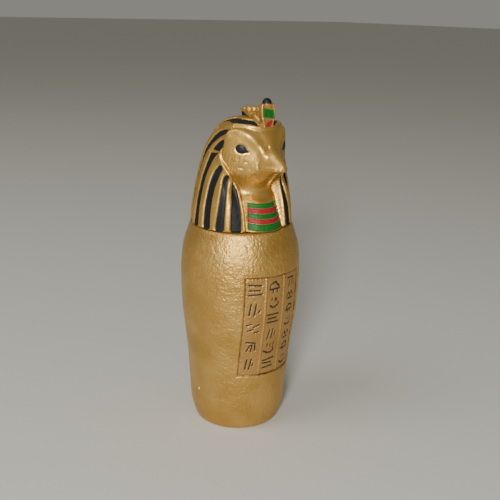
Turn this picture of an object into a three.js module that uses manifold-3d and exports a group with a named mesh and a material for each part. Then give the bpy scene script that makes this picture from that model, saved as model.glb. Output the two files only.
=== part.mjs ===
// A miniature canopic jar with a falcon-headed lid, cast in resin and painted gold, in millimetres.
// The jar stands on z = 0 with its axis on Z and its inscription facing -Y. The lid rests in its mouth.
import * as THREE from "three";
import { mergeVertices } from "three/addons/utils/BufferGeometryUtils.js";
import Module from "manifold-3d";

const wasm = await Module();
wasm.setup();

// ---------------------------------------------------------------- driving dimensions

const JAR_HEIGHT = 62;
const LID_GAP = 0.3; // between the jar's rim and the lid that rests on it
const LID_TURN = -4.5; // degrees; the lid sits a little askew on the jar

// The jar's outside from foot to rim, as [radius, height].
const JAR_OUTLINE = [
  [13.05, 0.9],
  [14.3, 5.4],
  [14.87, 12.4],
  [15.47, 20.15],
  [16.3, 27.9],
  [17.27, 35.65],
  [17.73, 43.4],
  [17.75, 49.6],
  [17.1, 55.8],
  [15.55, 61],
];
const FOOT_RADIUS = 12.2;
const RIM_RADIUS = 15.1;
const WALL = 3.2;
const FLOOR = 5;
const MOUTH_RADIUS = 11.3;
const MOUTH_DEPTH = 4;
const JAR_SEGMENTS = 36;

const PANEL = { bottom: 18.6, top: 49.6, edges: [-10.3, -3.9, 2.6, 10.3], recess: 0.3, divider: 0.5 };
const BORDER = { width: 0.4, depth: 0.55 };
const MARKS = { counts: [5, 7, 7], width: 0.45, depth: 0.65, size: 2.6 };

const LID_HEIGHT = 31; // from the jar's rim to the crown of the headcloth
const DOME_START = 16.5;
const DOME_POWER = 3.3;
const CROWN_LEAN = 3.7; // how far the crown stands forward of the axis
const PLUG = { radius: 10.9, length: 3.2, segments: 28 };
const STRIPE_DEPTH = 0.55;
const CLOTH_SEGMENTS = 42;
const HEAD_SEGMENTS = 30;

// The headcloth's radius and how far its front lies back from that, as [height above the rim, radius, inset].
const CLOTH = [
  [0, 15.05, 0.55],
  [5, 14.65, 0.85],
  [10, 13.85, 1.25],
  [14.7, 12.9, 1.3],
  [19.4, 11.8, 0.5],
  [22, 11.4, 0],
];

// Right half of the opening for the face and the chest, as [half width, height].
const OPENING = [
  [6.5, -1],
  [6.6, 6.4],
  [6.8, 10],
  [7.3, 12.3],
  [8.1, 14.3],
  [9.3, 16.4],
  [10, 18.2],
  [10.3, 20.3],
  [10.2, 22.5],
  [9.9, 25.4],
  [9.2, 27.5],
  [7.9, 28.9],
  [6, 29.3],
  [0, 29.3],
];

// The falcon's head and throat in level rounds: [height, radius, centre ahead of the axis].
const HEAD = [
  [8, 8.6, 2.2],
  [9.4, 7.6, 2.6],
  [11.5, 7.3, 2.7],
  [13.3, 7.7, 2.8],
  [14.8, 8.9, 2.6],
  [16.2, 9.8, 2.5],
  [18, 10.5, 2.3],
  [20, 10.9, 2.2],
  [22, 11.05, 2.1],
  [24, 11, 2.2],
  [25.8, 10.6, 2.6],
  [27.2, 9.8, 3.1],
  [28.5, 8.4, 3.6],
  [29.3, 6.4, 3.9],
];

// The beak's halves from the head out to the tip: [ahead of the axis, lower edge, upper edge, half width].
const UPPER_BEAK = [
  [9.5, 18.4, 25.8, 3.2],
  [12.6, 18.4, 25.6, 3.4],
  [14.2, 18.4, 24.4, 3.1],
  [16, 18.4, 22.9, 2.6],
  [18, 18.4, 21.5, 1.95],
  [19.6, 18.3, 20.4, 1.2],
  [20.4, 18.1, 19.1, 0.4],
];
const LOWER_BEAK = [
  [9.5, 12.8, 18.2, 3.4],
  [12.2, 14.6, 18.2, 3.2],
  [15, 16.2, 18.2, 2.4],
  [17.4, 17.2, 18.1, 1.5],
  [18.9, 17.6, 18.05, 0.7],
];
const BEAK_PINCH = { upper: 0.45, lower: -0.12 };

// The brow's crest from the temple over the eye to the beak: [azimuth, height].
const BROW = [
  [61, 24.6],
  [57, 26.8],
  [48, 27.8],
  [38, 27.6],
  [28, 26.9],
  [18, 25.1],
  [11, 23],
];
const BROW_RADIUS = 0.9;

const EYE = { azimuth: 35, height: 23.3, width: 4.6, tall: 3.3, rise: 0.5 };
const EYE_THICK = 0.9; // half the thickness of the eye and of the hollow that it lies in
const SOCKET = { width: 8.4, tall: 6.6, depth: 0.7 };

const COLLAR = { edges: [0.6, 1.9, 3.3, 4.65, 6, 7.4], middle: 14.95, halfAngle: 26, groove: 0.3 };

// The rearing cobra: its hood in front, its head on top, and its body winding back along the crown through
// [side, ahead of the axis, height].
const HOOD = { width: 3.5, foot: 1.9, crown: 2.8, thick: 1.7, bottom: 28.6, top: 35.4, front: 12.4, tilt: 4 };
const COBRA_HEAD = { width: 1.35, depth: 1.5, height: 1.35, ahead: 11.1, level: 35.8 };
const COBRA_BODY = {
  course: [
    [0, 10.3, 32.6],
    [0.9, 8.9, 33.8],
    [-0.8, 7.4, 33],
    [0.9, 5.8, 33.5],
    [-0.8, 4.2, 32.6],
    [0.5, 2.6, 32.7],
    [0, 1.2, 31.4],
  ],
  radius: 1.25,
};
const COBRA_WEB = { width: 1.8, length: 8, height: 3, ahead: 7.4, level: 31.4 }; // fills under its body

// Headcloth stripes as [azimuth, height, half width in millimetres], from the rim up and round to the face.
const STRIPES = [
  [
    [39.5, 0.9, 1.6],
    [40, 5, 1.4],
    [41.5, 9.5, 0.95],
    [43, 12.2, 0.6],
    [45, 14.1, 0.15],
  ],
  [
    [58.5, 0.9, 1.4],
    [57.2, 6, 1.05],
    [55.7, 12.3, 0.8],
    [54.3, 15.6, 0.5],
  ],
  [
    [75, 0.9, 1.3],
    [74, 7, 1.2],
    [70.5, 13.5, 1.15],
    [67, 16.6, 1.05],
    [63.5, 18.2, 0.7],
  ],
  [
    [92.5, 0.9, 1.3],
    [92, 8, 1],
    [89, 14.5, 0.9],
    [83.5, 18.6, 0.95],
    [77.5, 21.6, 1.1],
    [72.5, 23.6, 1],
  ],
  [
    [111, 0.9, 1.2],
    [111, 8, 1],
    [108, 15, 0.95],
    [103, 20, 1],
    [99, 24, 1.05],
    [91, 26.9, 1.05],
    [78, 28, 0.6],
  ],
  [
    [128, 0.9, 1.3],
    [128, 14, 1],
    [127, 24, 1],
    [122, 29.2, 1.1],
    [106, 30.5, 1.2],
    [72, 30.8, 1.25],
    [38, 30.4, 1.2],
    [21.5, 29.7, 0.5],
  ],
  [
    [146, 0.9, 1.3],
    [146, 12, 1.05],
    [146, 22, 0.9],
    [146, 28.6, 0.5],
  ],
  [
    [163.5, 0.9, 1.3],
    [163.5, 12, 1.05],
    [163.5, 22, 0.8],
    [163.5, 27.6, 0.35],
  ],
];

// ---------------------------------------------------------------- small tools

const radians = THREE.MathUtils.degToRad;
const { clamp, lerp, smoothstep } = THREE.MathUtils;

// Reads a table of rows [key, value, value...] at a key between two rows.
function lookup(table, key, column = 1) {
  const next = table.findIndex((row) => row[0] >= key);
  if (next <= 0) return table.at(next === 0 ? 0 : -1)[column];
  const [low, high] = [table[next - 1], table[next]];
  return lerp(low[column], high[column], (key - low[0]) / (high[0] - low[0]));
}

// A closed geometry as a manifold-3d solid, turned so that its faces point out.
function solidOf(geometry) {
  const bare = geometry.clone();
  bare.deleteAttribute("normal");
  bare.deleteAttribute("uv");
  const merged = mergeVertices(bare, 1e-4);
  const vertProperties = merged.attributes.position.array;
  const corner = (i) => new THREE.Vector3().fromArray(vertProperties, 3 * i);
  const faces = [];
  let volume = 0;
  for (let i = 0; i < merged.index.count; i += 3) {
    const [a, b, c] = [0, 1, 2].map((k) => merged.index.getX(i + k));
    if (a === b || b === c || c === a) continue;
    faces.push([a, b, c]);
    volume += corner(a).dot(corner(b).cross(corner(c)));
  }
  if (volume < 0) faces.forEach((face) => face.reverse());
  return new wasm.Manifold(
    new wasm.Mesh({ numProp: 3, vertProperties, triVerts: new Uint32Array(faces.flat()) }),
  );
}

function geometryOf(solid) {
  const mesh = solid.getMesh();
  return new THREE.BufferGeometry()
    .setAttribute("position", new THREE.BufferAttribute(new Float32Array(mesh.vertProperties), 3))
    .setIndex(new THREE.BufferAttribute(new Uint32Array(mesh.triVerts), 1));
}

// Moves every vertex of a geometry to move(vertex).
function shape(geometry, move) {
  const position = geometry.attributes.position;
  for (let i = 0; i < position.count; i++) {
    const moved = move(new THREE.Vector3().fromBufferAttribute(position, i));
    position.setXYZ(i, moved.x, moved.y, moved.z);
  }
  return geometry;
}

// A closed profile of [radius, height] points turned round Z, starting at the front.
function turned(profile, segments) {
  const points = profile.map(([radius, height]) => new THREE.Vector2(radius, height));
  return new THREE.LatheGeometry(points, segments).rotateX(Math.PI / 2);
}

// The point at an azimuth in radians, 0 at the front (-Y) and positive towards +X.
function around(azimuth, radius, height) {
  return new THREE.Vector3(radius * Math.sin(azimuth), -radius * Math.cos(azimuth), height);
}

const azimuthOf = (point) => Math.atan2(point.x, -point.y);

// A bar along a curved surface: place(along 0..1, across -1..1, rise 0 or 1) gives each of its corners.
function bar(steps, sides, place) {
  const box = new THREE.BoxGeometry(1, 2, 1, steps, sides, 1);
  return shape(box, (v) => place(v.x + 0.5, v.y, v.z + 0.5));
}

// ---------------------------------------------------------------- jar

const outline = new THREE.SplineCurve(JAR_OUTLINE.map(([r, z]) => new THREE.Vector2(r, z)));
const outlinePoints = outline.getPoints(10).map((p) => [p.x, p.y]);
const jarRadius = (z) => lookup(outlinePoints.map(([r, h]) => [h, r]), z);

// A point on the jar: millimetres round from the front, height, and depth below the surface.
function onJar(across, z, depth) {
  const radius = jarRadius(z);
  return around(across / radius, radius - depth, z);
}

// A straight groove in the jar between two [across, height] points.
function jarGroove([x0, z0], [x1, z1], width, depth) {
  const length = Math.hypot(x1 - x0, z1 - z0);
  const side = [((z0 - z1) / length) * (width / 2), ((x1 - x0) / length) * (width / 2)];
  const steps = Math.max(1, Math.round(length / 6));
  return solidOf(
    bar(steps, 1, (along, across, rise) =>
      onJar(
        lerp(x0, x1, along) + side[0] * across,
        lerp(z0, z1, along) + side[1] * across,
        rise ? -1 : depth,
      ),
    ),
  );
}

function panelColumn(left, right) {
  return solidOf(
    bar(5, 2, (along, across, rise) =>
      onJar(
        lerp(left, right, (across + 1) / 2),
        lerp(PANEL.bottom, PANEL.top, along),
        rise ? -1 : PANEL.recess,
      ),
    ),
  );
}

// Rows of short strokes that spell nothing: each mark is two strokes at a tilt of its own.
function panelMarks() {
  const grooves = [];
  MARKS.counts.forEach((count, column) => {
    const [left, right] = PANEL.edges.slice(column, column + 2);
    const centre = (left + right) / 2;
    const pitch = (PANEL.top - PANEL.bottom) / (count + 0.4);
    for (let row = 0; row < count; row++) {
      const kind = (row * 2 + column * 3) % 5;
      const middle = PANEL.top - (row + 0.75) * pitch;
      const size = Math.min(MARKS.size, pitch * 0.62);
      for (let stroke = 0; stroke < 2; stroke++) {
        const tilt = radians(25 + 67 * kind + 58 * stroke);
        const shift = (stroke - 0.5) * 0.42 * size;
        const reach = [0.42 * size * Math.cos(tilt), 0.42 * size * Math.sin(tilt)];
        const place = [centre + shift, middle - 0.3 * shift];
        grooves.push(
          jarGroove(
            [place[0] - reach[0], place[1] - reach[1]],
            [place[0] + reach[0], place[1] + reach[1]],
            MARKS.width,
            MARKS.depth,
          ),
        );
      }
    }
  });
  return grooves;
}

function makeJar() {
  const inside = outlinePoints
    .filter(([, z]) => z > FLOOR + 1 && z < JAR_HEIGHT - MOUTH_DEPTH - 4)
    .map(([r, z]) => [r - WALL, z])
    .reverse();
  const jar = solidOf(
    turned(
      [
        [0, 0],
        [FOOT_RADIUS, 0],
        [FOOT_RADIUS + 0.55, 0.25],
        ...outlinePoints,
        [RIM_RADIUS, JAR_HEIGHT - 0.35],
        [RIM_RADIUS - 0.35, JAR_HEIGHT],
        [MOUTH_RADIUS + 0.3, JAR_HEIGHT],
        [MOUTH_RADIUS, JAR_HEIGHT - 0.3],
        [MOUTH_RADIUS, JAR_HEIGHT - MOUTH_DEPTH],
        ...inside,
        [inside.at(-1)[0] - 1.2, FLOOR],
        [0, FLOOR],
      ],
      JAR_SEGMENTS,
    ),
  );
  const first = PANEL.edges[0];
  const last = PANEL.edges.at(-1);
  const columns = PANEL.edges
    .slice(1)
    .map((right, i) => panelColumn(PANEL.edges[i] + PANEL.divider / 2, right - PANEL.divider / 2));
  const corners = [
    [first, PANEL.bottom],
    [first, PANEL.top],
    [last, PANEL.top],
    [last, PANEL.bottom],
  ];
  const borders = corners.map((corner, i) =>
    jarGroove(corner, corners[(i + 1) % 4], BORDER.width, BORDER.depth),
  );
  return [...columns, ...borders, ...panelMarks()].reduce((body, cut) => body.subtract(cut), jar);
}

// ---------------------------------------------------------------- lid: headcloth

const leanAt = (h) => CROWN_LEAN * smoothstep(h, 19.5, 30);

// The headcloth's radius about its own leaning centre.
function clothRadius(azimuth, h) {
  const rise = clamp((h - DOME_START) / (LID_HEIGHT - DOME_START), 0, 1);
  const dome = (1 - rise ** DOME_POWER) ** (1 / DOME_POWER);
  const front = 1 - smoothstep(Math.abs(azimuth), radians(36), radians(62));
  return (lookup(CLOTH, h) - lookup(CLOTH, h, 2) * front) * dome;
}

// A point on the headcloth at a height above the rim.
function onCloth(azimuth, h) {
  return around(azimuth, clothRadius(azimuth, h), h).add(new THREE.Vector3(0, -leanAt(h), 0));
}

function clothBody() {
  const heights = [0, 6, 12, 16.5, 20, 23, 25.6, 27.6, 29.2, 30.4];
  const profile = [[0, 0], ...heights.map((h) => [1, h]), [0, LID_HEIGHT]];
  return solidOf(
    shape(turned(profile, CLOTH_SEGMENTS), (v) => {
      if (Math.hypot(v.x, v.y) < 0.5) return v.setY(-leanAt(v.z));
      return onCloth(azimuthOf(v), v.z);
    }),
  );
}

// What fills the opening in the headcloth, wider than it by grow.
function opening(grow) {
  const right = OPENING.map(([x, h]) => new THREE.Vector2(x && x + grow, h));
  const left = OPENING.slice(0, -1).map(([x, h]) => new THREE.Vector2(-x - grow, h));
  const cut = new THREE.ExtrudeGeometry(new THREE.Shape([...right, ...left.reverse()]), {
    depth: 30,
    bevelEnabled: false,
  });
  return solidOf(cut.rotateX(Math.PI / 2).translate(0, grow - 3, 0));
}

// A bar that follows a course over a surface: course(along) gives { at, out, half } for its middle, the
// surface's outward direction and its half width, and it reaches from below to above the surface.
function surfaceBar(steps, course, below, above) {
  return solidOf(
    bar(steps, 1, (along, across, rise) => {
      const { at, out, half } = course(along);
      const ahead = course(Math.min(along + 0.01, 1)).at.clone().sub(course(Math.max(along - 0.01, 0)).at);
      const sideways = new THREE.Vector3().crossVectors(out, ahead).normalize();
      return at.clone().addScaledVector(sideways, across * half).addScaledVector(out, rise ? above : -below);
    }),
  );
}

// A smooth curve through rows of [azimuth in degrees, height, value], read at 0..1.
function rowCurve(rows) {
  const curve = new THREE.CatmullRomCurve3(rows.map((row) => new THREE.Vector3(...row, 0)));
  return (along) => curve.getPoint(along);
}

// The groove of one black stripe, on the right for side 1 and on the left for side -1.
function stripeGroove(path, side) {
  const curve = rowCurve(path);
  const core = new THREE.Vector3(0, -leanAt(26), 16);
  const course = (along) => {
    const { x, y, z } = curve(along);
    const at = onCloth(side * radians(x), y);
    const out = at.clone().sub(core.clone().setZ(Math.min(y, core.z))).normalize();
    return { at, out, half: z };
  };
  return surfaceBar(path.length + 1, course, STRIPE_DEPTH, 1);
}

// ---------------------------------------------------------------- lid: head and chest

// Distance from the axis to the head without its beak, at an azimuth and height.
function headRadius(azimuth, h) {
  const [round, centre] = [1, 2].map((column) => lookup(HEAD, h, column));
  return centre * Math.cos(azimuth) + Math.sqrt(round ** 2 - (centre * Math.sin(azimuth)) ** 2);
}

// The chest bulges at its middle and falls back towards the lappets.
function chestRadius(azimuth, h) {
  const share = azimuth / radians(COLLAR.halfAngle);
  return COLLAR.middle - 0.18 * h - (0.9 + 0.13 * h) * Math.min(share ** 2, 1.6);
}

function headBody() {
  const rows = [0, ...COLLAR.edges, ...HEAD.map(([h]) => h)];
  const profile = [[0, 0], ...rows.map((h) => [1, h]), [0, 29.6]];
  return solidOf(
    shape(turned(profile, HEAD_SEGMENTS), (v) => {
      if (Math.hypot(v.x, v.y) < 0.5) return v.setY(v.z > 1 ? -3 : 0);
      const turn = azimuthOf(v);
      const azimuth = turn - 0.4 * Math.sin(turn);
      const radius = v.z < HEAD[0][0] ? chestRadius(azimuth, v.z) : headRadius(azimuth, v.z);
      return around(azimuth, radius, v.z);
    }),
  );
}

// Half of the beak, in rings from the head to the tip, narrower at the top for a pinch over 0.
function beakHalf(rows, pinch) {
  const tube = new THREE.CylinderGeometry(1, 1, 1, 12, rows.length - 1).rotateX(Math.PI / 2);
  return solidOf(
    shape(tube, (v) => {
      const [ahead, low, high, half] = rows[Math.round((0.5 - v.z) * (rows.length - 1))];
      const up = (v.y + 1) / 2;
      return new THREE.Vector3(half * v.x * (1 - pinch * up), -ahead, lerp(low, high, up));
    }),
  );
}

function brow(side) {
  const curve = rowCurve(BROW.map(([azimuth, h]) => [azimuth, h, 0]));
  const points = [0, 0.2, 0.4, 0.6, 0.8, 1].map((along) => {
    const { x, y } = curve(along);
    return around(side * radians(x), headRadius(radians(x), y) - 0.45, y);
  });
  const section = new THREE.Shape().absarc(0, 0, BROW_RADIUS, 0, 2 * Math.PI);
  return solidOf(
    new THREE.ExtrudeGeometry(section, {
      steps: 8,
      curveSegments: 3,
      extrudePath: new THREE.CatmullRomCurve3(points),
    }),
  );
}

// A flattened ball at an eye, with its middle out from the head's surface.
function eyeBall(side, { width, tall }, out) {
  const turn = side * radians(EYE.azimuth);
  const ball = new THREE.SphereGeometry(1, 12, 6).scale(width / 2, EYE_THICK, tall / 2);
  const at = around(turn, headRadius(turn, EYE.height) + out, EYE.height);
  return solidOf(ball.rotateZ(turn).translate(at.x, at.y, at.z));
}

const eye = (side) => eyeBall(side, EYE, EYE.rise - SOCKET.depth - EYE_THICK);

// The hollow under the brow that the eye lies in.
const socket = (side) => eyeBall(side, SOCKET, EYE_THICK - SOCKET.depth);

// A fine groove between two of the collar's bands.
function collarGroove(h) {
  const course = (along) => {
    const azimuth = radians(lerp(-COLLAR.halfAngle, COLLAR.halfAngle, along));
    return {
      at: around(azimuth, chestRadius(azimuth, h), h),
      out: around(azimuth, 1, 0),
      half: COLLAR.groove / 2,
    };
  };
  return surfaceBar(6, course, COLLAR.groove, 1);
}

// ---------------------------------------------------------------- lid: cobra

// The hood as a plate that widens from its foot and narrows a little at its crown.
function hood() {
  const tall = HOOD.top - HOOD.bottom;
  const [foot, wide, crown] = [HOOD.foot / 2, HOOD.width / 2, HOOD.crown / 2];
  const right = [
    [foot, 0],
    [wide, 0.35 * tall],
    [wide, 0.88 * tall],
    [crown, tall],
  ];
  const left = right.map(([x, h]) => [-x, h]).reverse();
  const plate = new THREE.Shape([...right, ...left].map(([x, h]) => new THREE.Vector2(x, h)));
  return new THREE.ExtrudeGeometry(plate, { depth: HOOD.thick, bevelEnabled: false })
    .rotateX(Math.PI / 2 - radians(HOOD.tilt))
    .translate(0, HOOD.thick - HOOD.front, HOOD.bottom);
}

function cobraBody() {
  const course = COBRA_BODY.course.map(([x, ahead, h]) => new THREE.Vector3(x, -ahead, h));
  return new THREE.ExtrudeGeometry(new THREE.Shape().absarc(0, 0, COBRA_BODY.radius, 0, 2 * Math.PI), {
    steps: 12,
    curveSegments: 3,
    extrudePath: new THREE.CatmullRomCurve3(course),
  });
}

function cobra() {
  const head = new THREE.SphereGeometry(1, 12, 8)
    .scale(COBRA_HEAD.width, COBRA_HEAD.depth, COBRA_HEAD.height)
    .translate(0, -COBRA_HEAD.ahead, COBRA_HEAD.level);
  const web = new THREE.BoxGeometry(COBRA_WEB.width, COBRA_WEB.length, COBRA_WEB.height).translate(
    0,
    -COBRA_WEB.ahead,
    COBRA_WEB.level,
  );
  return [head, cobraBody(), web].reduce((all, more) => all.add(solidOf(more)), solidOf(hood()));
}

function plug() {
  const chamfer = 0.4;
  const profile = [
    [0, -PLUG.length],
    [PLUG.radius - chamfer, -PLUG.length],
    [PLUG.radius, chamfer - PLUG.length],
    [PLUG.radius, 1],
    [0, 1],
  ];
  return solidOf(turned(profile, PLUG.segments));
}

function makeLid() {
  const stripes = STRIPES.flatMap((path) => [stripeGroove(path, 1), stripeGroove(path, -1)]);
  const cloth = [opening(0), ...stripes].reduce((body, cut) => body.subtract(cut), clothBody());
  const hollows = [...COLLAR.edges.slice(1, -1).map(collarGroove), socket(1), socket(-1)];
  const chest = hollows.reduce((body, cut) => body.subtract(cut), headBody().intersect(opening(0.1)));
  const features = [
    beakHalf(UPPER_BEAK, BEAK_PINCH.upper),
    beakHalf(LOWER_BEAK, BEAK_PINCH.lower),
    brow(1),
    brow(-1),
    eye(1),
    eye(-1),
    cobra(),
    plug(),
  ];
  return [chest, ...features].reduce((body, more) => body.add(more), cloth);
}

// ---------------------------------------------------------------- the object

const gold = { color: 0xb08a3e, roughness: 0.38, metalness: 0.75 };

function piece(name, solid, material) {
  const mesh = new THREE.Mesh(geometryOf(solid), new THREE.MeshStandardMaterial(material));
  mesh.name = name;
  return mesh;
}

const jar = piece("jar", makeJar(), gold);
const lid = piece("lid", makeLid(), gold);
lid.position.z = JAR_HEIGHT + LID_GAP;
lid.rotation.z = radians(LID_TURN);

const canopicJar = new THREE.Group();
canopicJar.add(jar, lid);

export default canopicJar;
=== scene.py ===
"""A miniature canopic jar with a falcon-headed lid, cast in resin, sprayed gold and painted by hand.

Forms are worked out in millimetres and turned to metres when a mesh is made. The jar's forms stand in the
frame's own axes. The lid's stand on the lid's underside, with h the height above it, x to the right of the
falcon's face and y towards its back, and are then turned and lifted onto the jar.
"""

import math

import bmesh
import bpy
import numpy as np
from mathutils import Matrix, Vector


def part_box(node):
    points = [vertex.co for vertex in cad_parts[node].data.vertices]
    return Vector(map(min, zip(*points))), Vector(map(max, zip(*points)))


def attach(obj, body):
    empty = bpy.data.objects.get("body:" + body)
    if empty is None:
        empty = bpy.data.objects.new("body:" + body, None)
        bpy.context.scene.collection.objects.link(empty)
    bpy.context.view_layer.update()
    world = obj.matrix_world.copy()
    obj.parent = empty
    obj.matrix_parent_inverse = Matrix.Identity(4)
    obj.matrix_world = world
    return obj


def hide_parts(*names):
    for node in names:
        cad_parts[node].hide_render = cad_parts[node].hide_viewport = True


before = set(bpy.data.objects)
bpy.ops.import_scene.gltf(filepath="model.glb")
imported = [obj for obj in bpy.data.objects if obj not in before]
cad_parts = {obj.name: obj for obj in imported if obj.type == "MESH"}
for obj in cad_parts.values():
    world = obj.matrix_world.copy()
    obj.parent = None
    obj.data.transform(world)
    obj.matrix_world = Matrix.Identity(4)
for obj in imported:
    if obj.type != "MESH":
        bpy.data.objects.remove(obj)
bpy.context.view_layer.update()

MM = 0.001
LID_GAP = 0.3  # between the jar's rim and the lid's underside
LID_TURN = math.radians(-4.5)
JAR_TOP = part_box("jar")[1].z / MM
FAR_OFF = 9.0  # the distance stored where nothing is painted, in millimetres
FRONT = 0.35  # how much closer together the columns of a mesh are in front than on average


# ---------------------------------------------------------------- sums on arrays


def smooth(value, low, high):
    share = np.clip((value - low) / (high - low), 0, 1)
    return share * share * (3 - 2 * share)


def mix(a, b, share):
    return a + (b - a) * share


def union(a, b, radius):
    """The union of two fields with a fillet between them."""
    share = np.clip(0.5 + 0.5 * (b - a) / radius, 0, 1)
    return mix(b, a, share) - radius * share * (1 - share)


def common(a, b, radius):
    return -union(-a, -b, radius)


def table(rows):
    """A smooth curve through rows of [key, value...]: returns read(key, column)."""
    rows = np.array(rows, float)
    keys, values = rows[:, 0], rows[:, 1:]
    slopes = np.gradient(values, keys, axis=0)

    def read(key, column=0):
        key = np.clip(key, keys[0], keys[-1])
        i = np.clip(np.searchsorted(keys, key, side="right") - 1, 0, len(keys) - 2)
        span = keys[i + 1] - keys[i]
        t = (key - keys[i]) / span
        a, b = values[i, column], values[i + 1, column]
        up, down = slopes[i, column] * span, slopes[i + 1, column] * span
        return a + t * (up + t * (3 * (b - a) - 2 * up - down + t * (2 * (a - b) + up + down)))

    return read


def spline(rows, count):
    """count rows evenly along a smooth curve through the given rows."""
    rows = np.array(rows, float)
    read = table(np.column_stack([np.arange(len(rows)), rows]))
    at = np.linspace(0, len(rows) - 1, count)
    return np.stack([read(at, column) for column in range(rows.shape[1])], axis=1)


def nearest(points, course, reach=3.0):
    """Each point's distance to a polyline, and how far along it (0..1) its nearest place is."""
    best = np.full(len(points), 1e3)
    place = np.zeros(len(points))
    low, high = course.min(0) - reach, course.max(0) + reach
    near = np.flatnonzero(np.all((points > low) & (points < high), axis=1))
    close = points[near]
    for i in range(len(course) - 1):
        step = course[i + 1] - course[i]
        t = np.clip((close - course[i]) @ step / (step @ step), 0, 1)
        distance = np.linalg.norm(close - course[i] - t[:, None] * step, axis=1)
        better = distance < best[near]
        best[near[better]] = distance[better]
        place[near[better]] = (i + t[better]) / (len(course) - 1)
    return best, place


def lattice(cell):
    """A repeatable value from -1 to 1 for each whole-numbered cell."""
    mixed = cell[..., 0] * 374761393 + cell[..., 1] * 668265263 + cell[..., 2] * 2147483647
    mixed = (mixed ^ (mixed >> 13)) * 1274126177
    return ((mixed ^ (mixed >> 16)) & 65535) / 32767.5 - 1


def noise(points, size):
    """Smooth noise from -1 to 1 with features of about that size."""
    scaled = points / size
    cell = np.floor(scaled).astype(np.int64)
    t = scaled - cell
    t = t * t * (3 - 2 * t)
    total = 0
    for corner in np.ndindex(2, 2, 2):
        weight = np.prod(np.where(np.array(corner), t, 1 - t), axis=1)
        total = total + weight * lattice(cell + np.array(corner))
    return total


# ---------------------------------------------------------------- meshes


def columns(count):
    """Azimuths from the back round to the back, 0 in front, closer together in front."""
    turn = (np.arange(count) / count - 0.5) * 2 * math.pi
    return turn - FRONT * np.sin(turn)


def ring(azimuth, size, level):
    """A level ring of points."""
    return np.stack([size * np.sin(azimuth), -size * np.cos(azimuth), np.full(len(azimuth), level)], axis=1)


def normals_of(grid):
    """Outward normals of a grid of rows by columns that closes on itself sideways."""
    sideways = np.roll(grid, -1, axis=1) - np.roll(grid, 1, axis=1)
    upwards = np.gradient(grid, axis=0)
    normal = np.cross(sideways, upwards)
    return normal / np.maximum(np.linalg.norm(normal, axis=2, keepdims=True), 1e-9)


def grid_faces(rows, count, start=0):
    """Quads of a closed grid of rows by count, whose first point is number start."""
    r, c = np.meshgrid(np.arange(rows - 1), np.arange(count), indexing="ij")
    a = start + r * count + c
    b = start + r * count + (c + 1) % count
    return np.stack([a, b, b + count, a + count], axis=2).reshape(-1, 4)


def cap_faces(ring, centre, outwards_up):
    """Triangles from one ring of point numbers to a centre point."""
    follow = np.roll(ring, -1)
    middle = np.full(len(ring), centre)
    order = [ring, follow, middle] if outwards_up else [follow, ring, middle]
    return np.stack(order, axis=1)


def make_mesh(name, points, faces):
    mesh = bpy.data.meshes.new(name)
    mesh.from_pydata((points * MM).tolist(), [], [face.tolist() for part in faces for face in part])
    mesh.polygons.foreach_set("use_smooth", [True] * len(mesh.polygons))
    mesh.update()
    made = bpy.data.objects.new(name, mesh)
    bpy.context.scene.collection.objects.link(made)
    return made


def store(mesh, name, values):
    layer = mesh.attributes.new(name, "FLOAT", "POINT")
    layer.data.foreach_set("value", np.asarray(values, np.float32))


def points_of(mesh):
    flat = np.empty(len(mesh.vertices) * 3)
    mesh.vertices.foreach_get("co", flat)
    return flat.reshape(-1, 3) / MM


# ---------------------------------------------------------------- jar

JAR_OUTLINE = [
    [0.9, 13.05],
    [5.4, 14.3],
    [12.4, 14.87],
    [20.15, 15.47],
    [27.9, 16.3],
    [35.65, 17.27],
    [43.4, 17.73],
    [49.6, 17.75],
    [55.8, 17.1],
    [61, 15.55],
]
FOOT_RADIUS = 12.2
RIM_RADIUS = 15.1
WALL = 3.2
FLOOR = 5.0
MOUTH_RADIUS = 11.3
MOUTH_DEPTH = 4.0
JAR_COLUMNS = 380

PANEL_LOW, PANEL_HIGH = 18.6, 49.6
PANEL_EDGES = [-10.3, -3.9, 2.6, 10.3]  # millimetres round from the front
PANEL_RECESS = 0.3
BORDER_WIDTH, BORDER_DEPTH = 0.42, 0.45
DIVIDER_WIDTH = 0.45
MARK_WIDTH, MARK_DEPTH = 0.46, 0.25
MARK_ROWS = [5, 6, 7]
CHIP_LEVEL, CHIP_RADIUS_OUT, CHIP_SIZE = 11.5, 14.8, 0.42  # where a speck of paint is gone
FRONT_REACH = 1.2  # how far round from the front, in radians, the panel is looked for
PEEL = 0.075  # how far the sprayed gold's orange peel stands up

jar_radius = table(JAR_OUTLINE)


def arc(start, end):
    """Short strokes round part of a circle, in turns of a whole round."""
    turn = np.linspace(start, end, 6) * 2 * math.pi
    ring = np.stack([0.8 * np.cos(turn), 0.8 * np.sin(turn)], axis=1)
    return [[a, b] for a, b in zip(ring[:-1], ring[1:])]


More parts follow.
